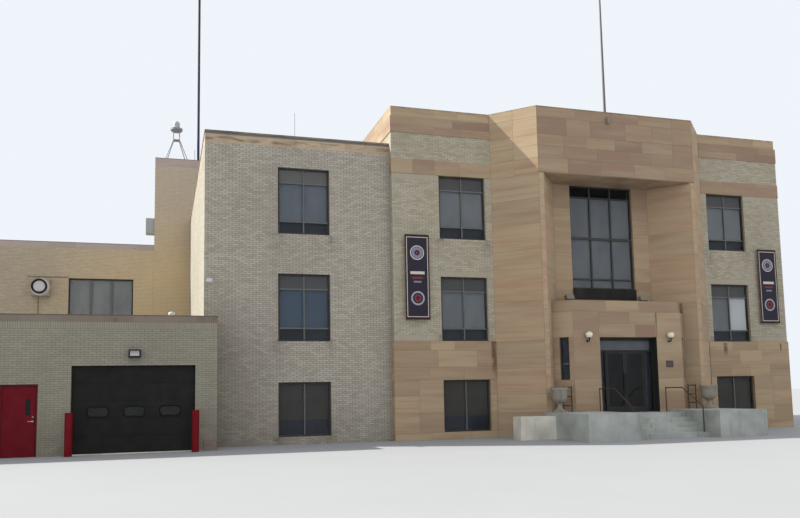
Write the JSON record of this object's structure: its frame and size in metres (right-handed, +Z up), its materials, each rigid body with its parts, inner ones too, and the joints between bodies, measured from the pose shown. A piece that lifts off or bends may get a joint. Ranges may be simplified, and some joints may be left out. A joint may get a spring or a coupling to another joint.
{
  "type": "town hall building",
  "caption": "Three-storey brick and stone town hall: canted stone entrance centre, brick wings, flat-roofed addition, garage block, rear wing and tower, with hinged entrance and service doors.",
  "frame": {"origin": "ground level below the middle of the main entrance, in the plane of the old front's brick face", "axes": "+X to the right along the street front, +Y into the building away from the street, +Z up"},
  "size_m": [34.13, 23.8, 24],
  "materials": {
    "concrete": "cast concrete, worn",
    "pale_concrete": "pale concrete",
    "roofing": "bitumen roofing membrane",
    "sandstone": "sawn sandstone ashlar, warm tan with pinkish bands",
    "buff_brick": "rough yellow-buff brick",
    "grey_brick": "grey-buff brick with dark specks",
    "tan_brick": "tan brick",
    "pale_stone": "pale stone coping",
    "cast_stone": "weathered cast stone",
    "dark_metal": "dark painted metal",
    "bronze_metal": "dark bronze finish",
    "charcoal_metal": "charcoal painted steel sections",
    "red_metal": "deep red paint",
    "white_metal": "white paint",
    "pole_metal": "weathered aluminium",
    "plaque_bronze": "aged bronze",
    "glass": "clear glazing with a blue-grey reflection",
    "opal_glass": "opal white glass",
    "banner_cloth": "printed woven banner cloth"
  },
  "bodies": {
    "building": {"ground_slabs": "concrete", "upper_floors": "concrete", "roof_slabs": "roofing", "lobby_floor": "concrete", "front_stone_base": "sandstone", "front_brick_walls": "buff_brick", "front_rear_stone": "sandstone", "side_stone_base": "sandstone", "side_walls": "buff_brick", "side_stone": "sandstone", "rear_wall": "buff_brick", "canted_piers": "sandstone", "frieze_block": "sandstone", "recess_wall": "sandstone", "portal_sides": "sandstone", "portal_lintel": "sandstone", "portal_cap": "sandstone", "entrance_steps": "concrete", "stair_blocks": "concrete", "low_side_walls": "pale_concrete", "urns": "cast_stone", "stair_rails": "dark_metal", "door_frames": "bronze_metal", "window_frames": "bronze_metal", "window_glass": "glass", "metal_boxes": "dark_metal", "lamp_globes": "opal_glass", "light_fittings": "dark_metal", "plaque": "plaque_bronze", "banners": "banner_cloth", "banner_bars": "dark_metal", "flagpole": "pole_metal", "addition_walls": "grey_brick", "metal_cap": "dark_metal", "stone_copings": "pale_stone", "garage_walls": "grey_brick", "garage_side_walls": "grey_brick", "garage_header": "grey_brick", "garage_doors": "charcoal_metal", "corner_stones": "pale_stone", "bollards": "red_metal", "wing_walls": "tan_brick", "wall_fixtures": "white_metal", "garage_lights": "glass", "antennas": "pole_metal", "tower_walls": "tan_brick", "roof_siren": "pole_metal", "mast": "dark_metal"},
    "entrance_leaf_left": {"entrance_leaf_left": "bronze_metal", "leaf_glass_left": "glass"},
    "entrance_leaf_right": {"entrance_leaf_right": "bronze_metal", "leaf_glass_right": "glass"},
    "service_door": {"service_door": "red_metal", "service_lite": "glass"}
  },
  "joints": [
    {"name": "entrance_left_hinge", "type": "hinge", "parent": "building", "child": "entrance_leaf_left", "pos_m": [-0.775, -1.141, 0.8], "axis": [0, 0, -1], "range_deg": [0, 90]},
    {"name": "entrance_right_hinge", "type": "hinge", "parent": "building", "child": "entrance_leaf_right", "pos_m": [0.775, -1.141, 0.8], "axis": [0, 0, 1], "range_deg": [0, 90]},
    {"name": "service_door_hinge", "type": "hinge", "parent": "building", "child": "service_door", "pos_m": [-20.535, -1.051, 0.01], "axis": [0, 0, -1], "range_deg": [0, 90]}
  ]
}
